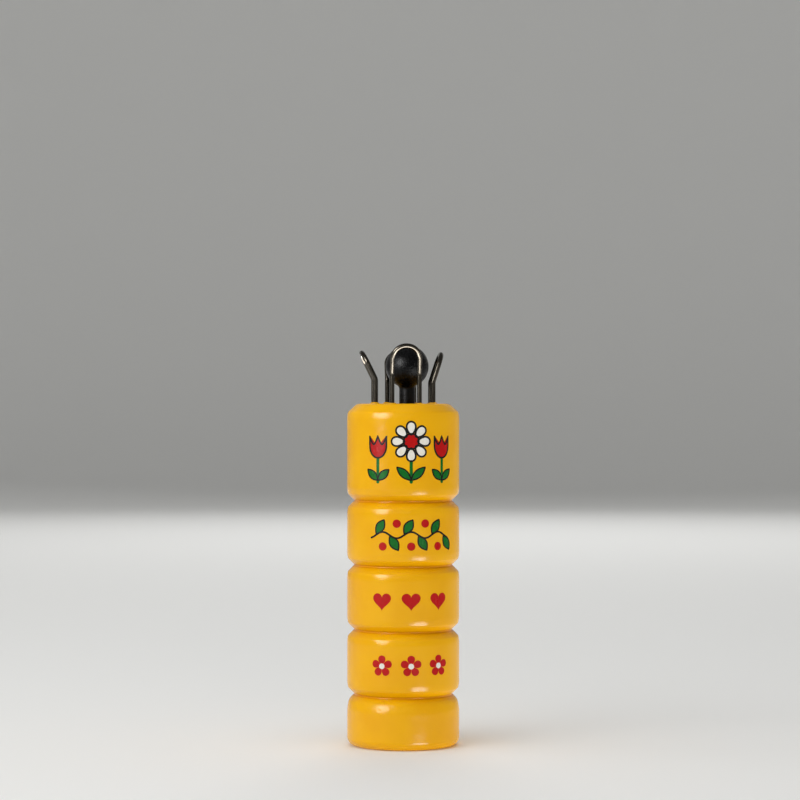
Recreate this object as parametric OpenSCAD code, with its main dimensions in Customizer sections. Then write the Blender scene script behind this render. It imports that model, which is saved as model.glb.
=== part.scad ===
// Knitting nancy: a turned, lacquered wooden body with a bore down its middle, four wire staples
// driven into its head, and a moulded plastic needle that stands loose in the bore.
// Millimetres. The base is on Z = 0 with the bore on the Z axis, and the front faces -Y.

/* [Body] */
// Diameter of the turned body
body_d = 26; // [23:0.5:32]
// Height of the head, from the first groove to its top face
head_h = 22.4; // [18:0.1:28]
// Height of each middle bead, groove to groove
bead_h = 14.9; // [11:0.1:20]
// Number of middle beads between the head and the foot
bead_count = 3; // [1:1:5]
// Height of the foot, from the base to the last groove
foot_h = 11.9; // [9:0.1:18]
// Depth of the grooves between the beads, to the point where their sides would meet
groove_depth = 1.7; // [1.5:0.05:2.2]
// Angle between the two sides of a groove, in degrees
groove_angle = 90; // [85:1:110]
// Radius at the bottom of the grooves
groove_r = 0.2; // [0.1:0.05:0.4]
// Length of the shoulder that slopes in from the wall towards a groove
shoulder_l = 1.15; // [1:0.05:2.5]
// How far a shoulder slopes in
shoulder_fall = 0.19; // [0.1:0.01:0.25]
// Radius between a shoulder and the side of its groove
shoulder_r = 0.9; // [0.3:0.1:1.6]
// Radius between the wall and a shoulder
crown_r = 7; // [2:0.5:9]
// Length of the foot's shoulder
foot_shoulder_l = 1.95; // [1.6:0.05:3]
// How far the foot's shoulder slopes in
foot_shoulder_fall = 0.45; // [0.2:0.05:0.6]
// Radius between the foot's shoulder and the side of its groove
foot_shoulder_r = 2.5; // [0.5:0.1:3]
// Width of the bevel round the head's top
bevel_w = 2.35; // [1.5:0.05:3.5]
// Height of the bevel round the head's top
bevel_h = 1.95; // [1.5:0.05:3.5]
// Radius between the bevel and the head's top face
bevel_r = 2; // [0.5:0.1:3]
// Radius of the foot's bottom edge
foot_edge_r = 2; // [0.5:0.1:4]

/* [Bore] */
// Diameter of the bore that the knitted cord passes down
bore_d = 9.5; // [8:0.1:12]
// Width of the chamfer at both mouths of the bore
mouth_chamfer = 0.6; // [0.2:0.1:1]

/* [Staples] */
// Diameter of the staple wire
wire_d = 1.1; // [0.8:0.05:1.4]
// Width of a staple between the centres of its legs
staple_w = 6.3; // [5:0.1:7.5]
// Wood left between the bore and a staple's legs
staple_web = 1.35; // [0.8:0.05:2]
// Depth of the legs in the wood, points included
leg_depth = 10; // [8:0.5:14]
// Length of the point on each leg
leg_point = 1.6; // [1:0.1:3]
// Diameter of the blunt end of each point
point_d = 0.3; // [0.2:0.05:0.5]
// Interference of the legs in their holes, on the radius
leg_grip = 0.02; // [0.01:0.01:0.05]
// Radius of the bends, to the centre of the wire
bend_r = 2; // [1.2:0.1:3]
// How much thinner the wire gets where it is bent, on the radius
bend_thin = 0.015; // [0.01:0.005:0.03]
// Length of a staple's loop, from the bend to its top
loop_l = 7.35; // [5.8:0.05:9]
// Height above the head at which the front staple bends outwards
front_bend_h = 6.8; // [4:0.1:8]
// Height above the head at which the right staple bends outwards
right_bend_h = 4.9; // [4:0.1:8]
// Height above the head at which the back staple bends outwards
back_bend_h = 5.8; // [4:0.1:8]
// Height above the head at which the left staple bends outwards
left_bend_h = 5.6; // [4:0.1:8]
// Outward lean of the front staple's loop, in degrees
front_lean = 20; // [10:1:30]
// Outward lean of the right staple's loop, in degrees
right_lean = 18; // [10:1:30]
// Outward lean of the back staple's loop, in degrees
back_lean = 26; // [10:1:30]
// Outward lean of the left staple's loop, in degrees
left_lean = 26; // [10:1:30]

/* [Needle] */
// Diameter of the needle's shaft
needle_d = 3.65; // [2.5:0.05:4.5]
// Diameter of the ball-shaped knob
knob_d = 10; // [9.6:0.1:11.5]
// Height of the knob's underside above the head
knob_lift = 3.6; // [2:0.1:6]
// Radius of the fillet under the knob
neck_r = 1; // [0.4:0.1:2]
// Length of the tapered end
taper_l = 16; // [8:0.5:30]
// Diameter of the rounded tip
tip_d = 1.8; // [1:0.1:2.4]
// Direction in which the needle stands over in the bore, in degrees from the right to the back
needle_turn = 62; // [50:1:80]
// Gap left between the knob and the back staple
knob_gap = 0.2; // [0.1:0.01:0.4]
// Least gap left between the needle's shaft and the wall of the bore
shaft_gap = 0.15; // [0.1:0.01:0.4]

/* [Hidden] */

body_r = body_d / 2;
body_h = foot_h + bead_count * bead_h + head_h;
bore_r = bore_d / 2;
wire_r = wire_d / 2;
needle_r = needle_d / 2;
knob_r = knob_d / 2;
tip_r = tip_d / 2;

// Radius of the circle that the staples stand on
staple_r = bore_r + staple_web + wire_r;
// Height of the knob's centre
knob_z = body_h + knob_lift + knob_r;

// Number of steps in an arc of an outline
arc_steps = 10;
// Number of sides of the round solids
round_sides = 128;
wire_sides = 48;
// How far a hole's cutter stands out of the wood
cut_over = 1;
// How far a bent stretch of wire runs on inside the straight ones
bend_lap = 0.1;

// Points along an arc about a centre, from one angle to another
function arc(centre, radius, from, to) = [
    for (i = [0 : arc_steps])
        let (a = from + (to - from) * i / arc_steps)
            centre + radius * [cos(a), sin(a)]
];

// Direction from one point to another, one unit long
function direction(from, to) = (to - from) / norm(to - from);

// Points round a corner of an outline, which comes from one point and goes on to another
function rounded(before, corner, after, radius) =
    let (
        back = direction(corner, before),
        on = direction(corner, after),
        half = acos(back * on) / 2,
        centre = corner + (back + on) / norm(back + on) * radius / sin(half),
        start = corner + back * radius / tan(half) - centre,
        from = atan2(start.y, start.x),
        turn = 180 - 2 * half
    )
    arc(centre, radius, from, from + turn * sign(cross(on, back)));

// Point of a corner without its radius
function place(corner) = [corner.x, corner.y];

// Outline through corners of [x, y, radius], where a radius of 0 is a sharp corner
function softened(corners) = [
    for (i = [0 : len(corners) - 1])
        each corners[i].z == 0
            ? [place(corners[i])]
            : rounded(place(corners[i - 1]), place(corners[i]), place(corners[i + 1]), corners[i].z)
];

// Height of a groove's side, up to a shoulder that slopes in by a given amount
function side_h(fall) = (groove_depth - fall) * tan(groove_angle / 2);

// Corners of a groove and its shoulders, going up, where the lower shoulder has [length, fall, radius]
function groove(z, lower) = [
    [body_r, z - side_h(lower[1]) - lower[0], crown_r],
    [body_r - lower[1], z - side_h(lower[1]), lower[2]],
    [body_r - groove_depth, z, groove_r],
    [body_r - shoulder_fall, z + side_h(shoulder_fall), shoulder_r],
    [body_r, z + side_h(shoulder_fall) + shoulder_l, crown_r]
];

bead_shoulder = [shoulder_l, shoulder_fall, shoulder_r];
foot_shoulder = [foot_shoulder_l, foot_shoulder_fall, foot_shoulder_r];

// Half section of the body, from the bore's lower mouth round the outside to its upper mouth
body_outline = softened([
    [bore_r, mouth_chamfer, 0],
    [bore_r + mouth_chamfer, 0, 0],
    [body_r, 0, foot_edge_r],
    for (i = [0 : bead_count])
        each groove(foot_h + i * bead_h, i == 0 ? foot_shoulder : bead_shoulder),
    [body_r, body_h - bevel_h - shoulder_l, crown_r],
    [body_r - shoulder_fall, body_h - bevel_h, shoulder_r],
    [body_r - bevel_w, body_h, bevel_r],
    [bore_r + mouth_chamfer, body_h, 0],
    [bore_r, body_h - mouth_chamfer, 0]
]);

// Centre of the fillet between the needle's shaft and its knob
neck_centre = [needle_r + neck_r, knob_z - sqrt(pow(knob_r + neck_r, 2) - pow(needle_r + neck_r, 2))];
// Angle below the horizontal at which the fillet meets the knob, seen from the knob's centre
neck_turn = acos((needle_r + neck_r) / (knob_r + neck_r));

// Half section of the needle, from its tip up to the top of its knob
needle_outline = concat(
    arc([0, tip_r], tip_r, -90, 0),
    [[needle_r, taper_l]],
    arc(neck_centre, neck_r, 180, 180 - neck_turn),
    arc([0, knob_z], knob_r, -neck_turn, 90)
);

// Direction in which the needle is moved off the bore's axis
needle_way = [cos(needle_turn), sin(needle_turn)];
// The same direction, and the back staple's leg, seen square to that staple's leaning loop
loop_way = [needle_way.x, needle_way.y * cos(back_lean)];
loop_leg = [staple_w / 2, staple_r * cos(back_lean) + (knob_z - body_h - back_bend_h) * sin(back_lean)];
// Distance between the leg's centre and the knob's once they are knob_gap apart
leg_reach = knob_r + wire_r + knob_gap;
// How far the needle can be moved before the knob gets to the leg
way_square = loop_way * loop_way;
way_leg = loop_way * loop_leg;
way_rest = pow(way_leg, 2) - way_square * (loop_leg * loop_leg - pow(leg_reach, 2));
knob_shift = (way_leg - sqrt(way_rest)) / way_square;
// How far the needle stands off the bore's axis
needle_shift = min(knob_shift, bore_r - needle_r - shaft_gap);

// One staple leg, from its point up to a given height above the head
module leg(top, grip = 0) {
    shank_r = wire_r - grip;
    rotate_extrude($fn = wire_sides)
        polygon([
            [0, -leg_depth],
            [point_d / 2, -leg_depth],
            [shank_r, leg_point - leg_depth],
            [shank_r, top],
            [0, top]
        ]);
}

// Stretch of wire bent about the Z axis, from +X towards +Y
module bent_wire(radius, turn) {
    lap_turn = bend_lap / radius * 180 / PI;
    rotate([0, 0, -lap_turn])
        rotate_extrude(angle = turn + 2 * lap_turn, $fn = round_sides)
            translate([radius, 0])
                circle(r = wire_r - bend_thin, $fn = wire_sides);
}

// Puts its children at both legs of a staple
module at_legs() {
    for (side = [-1, 1])
        translate([side * staple_w / 2, 0, 0])
            children();
}

// Puts a staple on the head, turned round the bore from the front
module on_head(turn) {
    rotate([0, 0, turn])
        translate([0, -staple_r, body_h])
            rotate([0, 0, 180])
                children();
}

// One staple: two legs, a bend in each, and a loop that leans out along +Y
module staple(bend_h, lean) {
    tangent = bend_r * tan(lean / 2);
    arch_h = loop_l - wire_r - staple_w / 2;
    color("silver") {
        at_legs() {
            leg(bend_h - tangent);
            translate([0, bend_r, bend_h - tangent])
                rotate([90, 0, -90])
                    bent_wire(bend_r, lean);
        }
        translate([0, 0, bend_h])
            rotate([-lean, 0, 0]) {
                at_legs()
                    translate([0, 0, tangent])
                        cylinder(h = arch_h - tangent, r = wire_r, $fn = wire_sides);
                translate([0, 0, arch_h])
                    rotate([90, 0, 0])
                        bent_wire(staple_w / 2, 180);
            }
    }
}

module body() {
    color("goldenrod")
        difference() {
            rotate_extrude($fn = round_sides)
                polygon(body_outline);
            for (turn = [0 : 90 : 270])
                on_head(turn)
                    at_legs()
                        leg(cut_over, leg_grip);
        }
}

module staple_front() {
    on_head(0) staple(front_bend_h, front_lean);
}

module staple_right() {
    on_head(90) staple(right_bend_h, right_lean);
}

module staple_back() {
    on_head(180) staple(back_bend_h, back_lean);
}

module staple_left() {
    on_head(270) staple(left_bend_h, left_lean);
}

module needle() {
    color("black")
        translate(needle_shift * needle_way)
            rotate_extrude($fn = round_sides)
                polygon(needle_outline);
}

body();
staple_front();
staple_right();
staple_back();
staple_left();
needle();
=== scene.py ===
"""Knitting nancy: a turned, lacquered wooden body with four wire staples and a loose moulded needle.

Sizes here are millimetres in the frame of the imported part: +Z is up, the base is on Z = 0, the bore is on
the Z axis and the front faces -Y. Meshes are written in metres.
"""
import logging
import math
from dataclasses import dataclass, field
from enum import Enum
from typing import Any, Callable, Sequence

import bpy
from mathutils import Matrix, Vector


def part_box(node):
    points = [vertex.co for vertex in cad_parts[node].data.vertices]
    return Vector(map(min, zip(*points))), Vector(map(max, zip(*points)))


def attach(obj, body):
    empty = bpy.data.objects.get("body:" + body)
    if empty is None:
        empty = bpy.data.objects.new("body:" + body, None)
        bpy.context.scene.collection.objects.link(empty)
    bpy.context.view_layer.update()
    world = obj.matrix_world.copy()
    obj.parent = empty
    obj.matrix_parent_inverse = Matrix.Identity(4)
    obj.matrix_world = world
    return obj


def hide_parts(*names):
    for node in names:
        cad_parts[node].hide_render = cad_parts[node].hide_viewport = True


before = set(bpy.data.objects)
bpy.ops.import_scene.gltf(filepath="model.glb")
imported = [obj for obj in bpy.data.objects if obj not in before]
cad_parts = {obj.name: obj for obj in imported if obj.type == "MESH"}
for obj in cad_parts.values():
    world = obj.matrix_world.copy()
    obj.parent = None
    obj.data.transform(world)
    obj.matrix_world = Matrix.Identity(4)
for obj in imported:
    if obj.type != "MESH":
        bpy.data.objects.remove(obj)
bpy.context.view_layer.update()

LOG = logging.getLogger("knitting_nancy")
MM = 0.001
MERGE_DISTANCE = 0.0005

Point = tuple[float, float]
Pair = tuple[float, float]
Colour = tuple[float, float, float, float]


class Body(Enum):
    """The rigid bodies that pieces ride on."""

    NANCY = "nancy"
    NEEDLE = "needle"


class Slot(Enum):
    """The record's material slots."""

    LACQUER = "yellow_lacquer"
    WIRE = "plated_wire"
    PLASTIC = "black_plastic"


class Side(Enum):
    """The sides of the head that a staple stands on, as degrees round the bore from the front."""

    FRONT = 0.0
    RIGHT = 90.0
    BACK = 180.0
    LEFT = 270.0


class Ink(Enum):
    """The inks of the printed decoration, each with the height of its film on the lacquer."""

    WHITE = 0.016
    GREEN = 0.020
    RED = 0.026
    BLACK = 0.036


def linear(red: float, green: float, blue: float) -> Colour:
    """Turns a colour of 0 to 255, as a picture holds it, into a linear one.

    Args:
        red: red channel.
        green: green channel.
        blue: blue channel.

    Returns:
        The linear colour with full alpha.
    """
    def channel(value: float) -> float:
        """Undoes the sRGB curve of one channel."""
        share = value / 255
        return share / 12.92 if share <= 0.04045 else ((share + 0.055) / 1.055) ** 2.4

    return channel(red), channel(green), channel(blue), 1.0


# Node trees

class Graph:
    """Adds and links the nodes of one node tree."""

    NODE_STEP = 180
    FIRST_COLOUR = 6
    SECOND_COLOUR = 7
    MIXED_COLOUR = 2

    def __init__(self, tree: bpy.types.NodeTree) -> None:
        """Keeps the tree that the nodes go into."""
        self.tree = tree

    def add(self, kind: str, inputs: dict[str | int, Any] | None = None, **settings: Any) -> bpy.types.Node:
        """Adds one node.

        Args:
            kind: Blender's name for the type of node.
            inputs: what goes into each input, by name or number: a socket to link, or a value.
            settings: the node's own properties.

        Returns:
            The new node.
        """
        node = self.tree.nodes.new(kind)
        node.location = (self.NODE_STEP * len(self.tree.nodes), 0)
        for name, setting in settings.items():
            setattr(node, name, setting)
        for key, value in (inputs or {}).items():
            if isinstance(value, bpy.types.NodeSocket):
                self.tree.links.new(value, node.inputs[key])
            else:
                node.inputs[key].default_value = value
        return node

    def math(self, operation: str, *values: Any) -> bpy.types.NodeSocket:
        """Adds a Math node and returns its result."""
        return self.add("ShaderNodeMath", dict(enumerate(values)), operation=operation).outputs[0]

    def vector(self, operation: str, *values: Any) -> bpy.types.NodeSocket:
        """Adds a Vector Math node and returns its vector."""
        return self.add("ShaderNodeVectorMath", dict(enumerate(values)), operation=operation).outputs[0]

    def scaled(self, vector: bpy.types.NodeSocket, factor: Any) -> bpy.types.NodeSocket:
        """Adds a node that scales a vector and returns its result."""
        inputs = {0: vector, "Scale": factor}
        return self.add("ShaderNodeVectorMath", inputs, operation="SCALE").outputs[0]

    def split(self, vector: bpy.types.NodeSocket) -> tuple[bpy.types.NodeSocket, ...]:
        """Returns the three parts of a vector."""
        return tuple(self.add("ShaderNodeSeparateXYZ", {0: vector}).outputs)

    def joined(self, *parts: Any) -> bpy.types.NodeSocket:
        """Returns a vector of three parts."""
        return self.add("ShaderNodeCombineXYZ", dict(enumerate(parts))).outputs[0]

    def ramp(self, value: bpy.types.NodeSocket, low: float, high: float) -> bpy.types.NodeSocket:
        """Adds a smooth step.

        Args:
            value: what is read.
            low: the value that gives 0.
            high: the value that gives 1, which may be the lower one.

        Returns:
            A value from 0 to 1.
        """
        inputs = {"Value": value, "From Min": low, "From Max": high}
        return self.add("ShaderNodeMapRange", inputs, interpolation_type="SMOOTHSTEP").outputs[0]

    def mix(self, share: Any, first: Any, second: Any) -> bpy.types.NodeSocket:
        """Blends two colours and returns the result."""
        inputs = {0: share, self.FIRST_COLOUR: first, self.SECOND_COLOUR: second}
        return self.add("ShaderNodeMix", inputs, data_type="RGBA").outputs[self.MIXED_COLOUR]

    def noise(self, vector: bpy.types.NodeSocket, scale: Any, detail: float = 2.0) -> bpy.types.NodeSocket:
        """Adds a noise and returns its value."""
        inputs = {"Vector": vector, "Scale": scale, "Detail": detail}
        return self.add("ShaderNodeTexNoise", inputs).outputs[0]

    def effect(self, group: bpy.types.ShaderNodeTree, place: bpy.types.NodeSocket, **sizes: float) -> Any:
        """Places a shared effect, with its sizes by input name, and returns its outputs."""
        inputs = {"Place": place, **{name.replace("_", " "): size for name, size in sizes.items()}}
        return self.add("ShaderNodeGroup", inputs, node_tree=group).outputs


def new_tree(
    kind: str, name: str, inputs: dict[str, tuple[str, Any]], outputs: dict[str, str]
) -> tuple[Graph, Any]:
    """Starts a node tree.

    Args:
        kind: Blender's name for the type of tree.
        name: the tree's name.
        inputs: each input's type of socket and default value, by name.
        outputs: each output's type of socket, by name.

    Returns:
        The tree's graph and the sockets of its inputs.
    """
    tree = bpy.data.node_groups.new(name, kind)
    for label, (socket_type, default) in inputs.items():
        socket = tree.interface.new_socket(label, in_out="INPUT", socket_type=socket_type)
        if default is not None:
            socket.default_value = default
    for label, socket_type in outputs.items():
        tree.interface.new_socket(label, in_out="OUTPUT", socket_type=socket_type)
    graph = Graph(tree)
    return graph, graph.add("NodeGroupInput").outputs


# Shared surface effects

def new_effect(name: str, sizes: dict[str, float], results: Sequence[str]) -> tuple[Graph, Any]:
    """Starts a shader node group that reads a place in millimetres.

    Args:
        name: the group's name.
        sizes: the default of each further input, by name.
        results: the names of the values that it puts out.

    Returns:
        The group's graph and the sockets of its inputs.
    """
    inputs: dict[str, tuple[str, Any]] = {"Place": ("NodeSocketVector", None)}
    inputs |= {label: ("NodeSocketFloat", size) for label, size in sizes.items()}
    return new_tree("ShaderNodeTree", name, inputs, {label: "NodeSocketFloat" for label in results})


def grain_group() -> bpy.types.ShaderNodeTree:
    """Returns the shared surface grain: a broad swell and a fine speckle, built once.

    Returns:
        A group that takes a place and the two sizes in millimetres and the speckle's share of the height,
        and puts out Swell, Speckle and Height.
    """
    name = "surface_grain"
    if name in bpy.data.node_groups:
        return bpy.data.node_groups[name]
    sizes = {"Swell Size": 1.2, "Speckle Size": 0.25, "Speckle Share": 0.4}
    graph, given = new_effect(name, sizes, ("Swell", "Speckle", "Height"))
    swell = graph.noise(given["Place"], graph.math("DIVIDE", 1.0, given["Swell Size"]))
    speckle = graph.noise(given["Place"], graph.math("DIVIDE", 1.0, given["Speckle Size"]), detail=3.0)
    height = graph.math("MULTIPLY_ADD", speckle, given["Speckle Share"], swell)
    graph.add("NodeGroupOutput", {"Swell": swell, "Speckle": speckle, "Height": height})
    return graph.tree


def handling_group() -> bpy.types.ShaderNodeTree:
    """Returns the shared handling marks: soft smudges that dull a gloss a little, built once.

    Returns:
        A group that takes a place and the smudges' size in millimetres, and puts out Smudge from 0 to 1.
    """
    name = "handling_marks"
    if name in bpy.data.node_groups:
        return bpy.data.node_groups[name]
    patch_range = (0.48, 0.72)
    streak_stretch = (1.0, 1.0, 0.25)
    streak_scale = 1.6
    graph, given = new_effect(name, {"Size": 7.0}, ("Smudge",))
    patches = graph.noise(given["Place"], graph.math("DIVIDE", 1.0, given["Size"]), detail=1.0)
    streaks = graph.noise(graph.vector("MULTIPLY", given["Place"], streak_stretch), streak_scale, detail=3.0)
    smudge = graph.math("MULTIPLY", graph.ramp(patches, *patch_range), streaks)
    graph.add("NodeGroupOutput", {"Smudge": smudge})
    return graph.tree


# Finishes

def new_material(name: str, **constants: Any) -> tuple[bpy.types.Material, Graph, bpy.types.Node]:
    """Makes a material with one Principled shader.

    Args:
        name: the material's name.
        constants: values that are the same all over, by socket name with underscores for spaces.

    Returns:
        The material, its graph and its shader.
    """
    material = bpy.data.materials.new(name)
    material.use_nodes = True
    graph = Graph(material.node_tree)
    shader = material.node_tree.nodes["Principled BSDF"]
    for socket, value in constants.items():
        shader.inputs[socket.replace("_", " ")].default_value = value
    return material, graph, shader


def place_in_mm(graph: Graph) -> bpy.types.NodeSocket:
    """Returns the shaded point's place on the piece, in millimetres."""
    place = graph.add("ShaderNodeTexCoord").outputs["Object"]
    return graph.scaled(place, 1 / MM)


def roughen(graph: Graph, shader: bpy.types.Node, height: bpy.types.NodeSocket, depth: float) -> None:
    """Gives a shader a bump.

    Args:
        graph: the material's graph.
        shader: the Principled shader.
        height: a value of about 0 to 1.
        depth: the height of 1, in millimetres.
    """
    bump = graph.add("ShaderNodeBump", {"Height": height, "Distance": depth * MM, "Strength": 1.0})
    graph.tree.links.new(bump.outputs["Normal"], shader.inputs["Normal"])


def link(graph: Graph, shader: bpy.types.Node, **values: bpy.types.NodeSocket) -> None:
    """Links values to a shader's sockets, by socket name with underscores for spaces."""
    for socket, value in values.items():
        graph.tree.links.new(value, shader.inputs[socket.replace("_", " ")])


@dataclass(frozen=True)
class LacquerFinish:
    """Opaque yellow lacquer on turned beech, bare inside the bore and with painted shade deep in its
    grooves, with lengths in millimetres.
    """

    wall_radius: float
    bore_radius: float
    height: float
    foot_h: float
    colour: Colour = linear(238, 175, 1)
    warm_colour: Colour = linear(234, 168, 1)
    # Painted shade: a darker yellow deep in each groove's crease.
    crease_shade_colour: Colour = linear(216, 144, 1)
    scuffed_colour: Colour = linear(188, 136, 34)
    wood_colour: Colour = linear(214, 178, 128)
    grain_colour: Colour = linear(172, 130, 84)
    ior: float = 1.5
    specular: float = 0.26
    roughness: float = 0.13
    smudge_dulling: float = 0.12
    peel_dulling: float = 0.07
    scuff_dulling: float = 0.25
    wood_roughness: float = 0.72
    tone_scale: float = 0.11
    tone_range: Pair = (0.35, 0.7)
    fibre_scale: tuple[float, float, float] = (2.6, 2.6, 0.16)
    fibre_range: Pair = (0.35, 0.65)
    crease_shade_depths: Pair = (1.15, 1.5)
    # Depths below the wall over which the painted crease shade fades in.
    end_zone: Pair = (3.2, 4.2)
    bore_edge: Pair = (0.12, 0.02)
    overspray: Pair = (5.5, 11.0)
    overspray_ragged: float = 6.0
    scuff_heights: Pair = (0.35, 0.05)
    scuff_range: Pair = (0.4, 0.6)
    scuff_share: float = 0.5
    wave_size: float = 2.4
    wave_height: float = 0.06
    peel_size: float = 0.5
    peel_share: float = 0.2
    drill_rate: float = 9.0
    drill_height: float = 0.006
    grit_size: float = 0.6
    grit_height: float = 0.055
    groove_grit: Pair = (0.35, 1.0)
    foot_grit: tuple[float, float, float, float] = (0.0, 0.4, 3.2, 5.4)

    def material(self) -> bpy.types.Material:
        """Builds the material.

        Returns:
            The lacquer's material.
        """
        material, graph, shader = new_material("yellow_lacquer", IOR=self.ior,
                                               Specular_IOR_Level=self.specular)
        place = place_in_mm(graph)
        x, y, z = graph.split(place)
        squares = [graph.math("MULTIPLY", side, side) for side in (x, y)]
        radius = graph.math("SQRT", graph.math("ADD", *squares))
        grain = graph.effect(grain_group(), place, Swell_Size=self.wave_size, Speckle_Size=self.peel_size,
                             Speckle_Share=self.peel_share)
        smudge = graph.effect(handling_group(), place)["Smudge"]

        from_end = graph.math("MINIMUM", z, graph.math("SUBTRACT", self.height, z))
        on_wall = graph.ramp(from_end, *self.end_zone)
        # Painted shade: darker paint deep in each groove's crease, away from the body's ends.
        in_groove = graph.ramp(radius, *[self.wall_radius - depth for depth in self.crease_shade_depths])
        crease_shade = graph.math("MULTIPLY", in_groove, on_wall)
        in_bore = graph.ramp(radius, *[self.bore_radius + edge for edge in self.bore_edge])
        ragged = graph.math("MULTIPLY_ADD", grain["Swell"], self.overspray_ragged, from_end)
        bare = graph.math("MULTIPLY", in_bore, graph.ramp(ragged, *self.overspray))
        at_base = graph.ramp(z, *self.scuff_heights)
        scuffed = graph.math("MULTIPLY", at_base, graph.ramp(grain["Swell"], *self.scuff_range))

        fibres = graph.noise(graph.vector("MULTIPLY", place, self.fibre_scale), 1.0, detail=4.0)
        wood = graph.mix(graph.ramp(fibres, *self.fibre_range), self.wood_colour, self.grain_colour)
        tone = graph.noise(place, self.tone_scale, detail=1.0)
        paint = graph.mix(graph.ramp(tone, *self.tone_range), self.colour, self.warm_colour)
        # Mixes in the painted crease shade.
        paint = graph.mix(crease_shade, paint, self.crease_shade_colour)
        paint = graph.mix(graph.math("MULTIPLY", scuffed, self.scuff_share), paint, self.scuffed_colour)
        dull = graph.math("MULTIPLY_ADD", smudge, self.smudge_dulling, self.roughness)
        dull = graph.math("MULTIPLY_ADD", grain["Speckle"], self.peel_dulling, dull)
        dull = graph.math("MULTIPLY_ADD", scuffed, self.scuff_dulling, dull)
        link(
            graph, shader,
            Base_Color=graph.mix(bare, paint, wood),
            Roughness=graph.math("MAXIMUM", dull, graph.math("MULTIPLY", bare, self.wood_roughness)),
        )

        drill_rings = graph.math("SINE", graph.math("MULTIPLY", z, self.drill_rate))
        drilled = graph.math("MULTIPLY", drill_rings, bare)
        by_groove = graph.ramp(radius, *[self.wall_radius - depth for depth in self.groove_grit])
        top, below_top, fading, end = [self.foot_h - depth for depth in self.foot_grit]
        on_foot = graph.math("MULTIPLY", graph.ramp(z, top, below_top), graph.ramp(z, end, fading))
        gritty = graph.math("MAXIMUM", graph.math("MULTIPLY", by_groove, on_wall), on_foot)
        grit = graph.math("MULTIPLY", graph.noise(place, 1 / self.grit_size), gritty)
        height = graph.math("MULTIPLY", grain["Height"], self.wave_height)
        height = graph.math("MULTIPLY_ADD", drilled, self.drill_height, height)
        height = graph.math("MULTIPLY_ADD", grit, self.grit_height, height)
        roughen(graph, shader, height, 1.0)
        return material


@dataclass(frozen=True)
class InkFinish:
    """Printing ink on the lacquer, a little mottled, with lengths in millimetres."""

    name: str
    colour: Colour
    thin_colour: Colour
    ior: float = 1.5
    specular: float = 0.26
    roughness: float = 0.19
    smudge_dulling: float = 0.15
    mottle_size: float = 0.9
    mottle_range: Pair = (0.4, 0.8)
    grain_height: float = 0.005

    def material(self) -> bpy.types.Material:
        """Builds the material.

        Returns:
            The ink's material.
        """
        material, graph, shader = new_material(self.name, IOR=self.ior, Specular_IOR_Level=self.specular)
        place = place_in_mm(graph)
        grain = graph.effect(grain_group(), place, Swell_Size=self.mottle_size)
        smudge = graph.effect(handling_group(), place)["Smudge"]
        worn = graph.ramp(grain["Swell"], *self.mottle_range)
        dull = graph.math("MULTIPLY_ADD", smudge, self.smudge_dulling, self.roughness)
        link(graph, shader, Base_Color=graph.mix(worn, self.colour, self.thin_colour), Roughness=dull)
        roughen(graph, shader, grain["Height"], self.grain_height)
        return material


INK_FINISHES = {
    Ink.WHITE: InkFinish("white_ink", linear(232, 229, 222), linear(226, 220, 200)),
    Ink.GREEN: InkFinish("green_ink", linear(4, 104, 30), linear(4, 92, 24)),
    Ink.RED: InkFinish("red_ink", linear(182, 4, 3), linear(172, 3, 2)),
    Ink.BLACK: InkFinish("black_ink", linear(14, 13, 12), linear(20, 18, 16)),
}


@dataclass(frozen=True)
class WireFinish:
    """Nickel-plated steel wire with drawing streaks along it, with lengths in millimetres."""

    bright_colour: Colour = linear(84, 79, 71)
    dark_colour: Colour = linear(25, 21, 18)
    roughness: float = 0.1
    tarnish_dulling: float = 0.12
    speckle_dulling: float = 0.1
    streaks_round: float = 3.0
    streaks_along: float = 0.35
    streak_range: Pair = (0.42, 0.72)
    streak_share: float = 0.7
    patch_size: float = 1.6
    patch_range: Pair = (0.5, 0.8)
    patch_share: float = 0.4
    speckle_size: float = 0.12
    speckle_height: float = 0.003
    streak_rise: float = 2.0

    def material(self) -> bpy.types.Material:
        """Builds the material.

        Returns:
            The wire's material.
        """
        material, graph, shader = new_material("plated_wire", Metallic=1.0)
        side = graph.add("ShaderNodeAttribute", attribute_name="wire_side").outputs["Vector"]
        run = graph.add("ShaderNodeAttribute", attribute_name="wire_run").outputs["Fac"]
        across = graph.scaled(side, self.streaks_round)
        along = graph.joined(0.0, 0.0, graph.math("MULTIPLY", run, self.streaks_along / MM))
        streaks = graph.noise(graph.vector("ADD", across, along), 1.0, detail=3.0)
        grain = graph.effect(grain_group(), place_in_mm(graph), Swell_Size=self.patch_size,
                             Speckle_Size=self.speckle_size)
        patches = graph.math("MULTIPLY", graph.ramp(grain["Swell"], *self.patch_range), self.patch_share)
        streaked = graph.ramp(streaks, *self.streak_range)
        tarnish = graph.math("MULTIPLY_ADD", streaked, self.streak_share, patches)
        dull = graph.math("MULTIPLY_ADD", tarnish, self.tarnish_dulling, self.roughness)
        link(
            graph, shader,
            Base_Color=graph.mix(tarnish, self.bright_colour, self.dark_colour),
            Roughness=graph.math("MULTIPLY_ADD", grain["Speckle"], self.speckle_dulling, dull),
        )
        height = graph.math("MULTIPLY_ADD", streaks, self.streak_rise, grain["Speckle"])
        roughen(graph, shader, height, self.speckle_height)
        return material


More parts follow.
